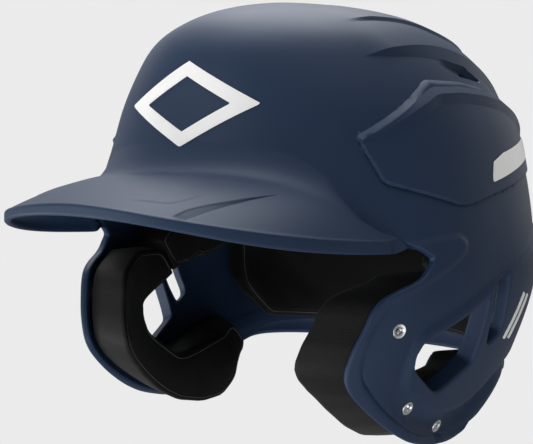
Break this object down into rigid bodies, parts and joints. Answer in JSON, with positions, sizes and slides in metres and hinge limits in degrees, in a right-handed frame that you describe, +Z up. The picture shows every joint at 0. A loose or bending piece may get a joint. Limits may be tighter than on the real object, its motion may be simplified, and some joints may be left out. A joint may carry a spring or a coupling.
{
  "type": "batting helmet",
  "caption": "Hard moulded batting helmet with a front bill, a flap over each ear, raised side panels and thick black pads inside.",
  "frame": {"origin": "Middle of the overall length and width, level with the lowest points of the ear flaps", "axes": "+X to the wearer's left, -Y forwards along the bill, +Z up"},
  "size_m": [0.2308, 0.2922, 0.219],
  "materials": {
    "shell_navy": "matt moulded plastic with a very fine grain",
    "pad_black": "soft black synthetic leather over foam",
    "insert_silver": "turned, slightly brushed",
    "mark_white": "white vinyl, satin",
    "hook_black": "woven hook-and-loop tape"
  },
  "bodies": {
    "root": {"shell": "shell_navy", "inserts_left": "insert_silver", "inserts_right": "insert_silver", "emblem_front": "mark_white", "label_left": "mark_white", "label_right": "mark_white", "mark_rear_left": "mark_white", "mark_rear_right": "mark_white", "pad_front": "pad_black", "pad_crown": "pad_black", "pad_side_left": "pad_black", "pad_side_right": "pad_black", "pad_rear": "pad_black", "pad_jaw_left": "pad_black", "pad_jaw_right": "pad_black", "hook_front": "hook_black", "hook_crown": "hook_black", "hook_side_left": "hook_black", "hook_side_right": "hook_black", "hook_rear": "hook_black", "hook_jaw_left": "hook_black", "hook_jaw_right": "hook_black"}
  },
  "joints": []
}
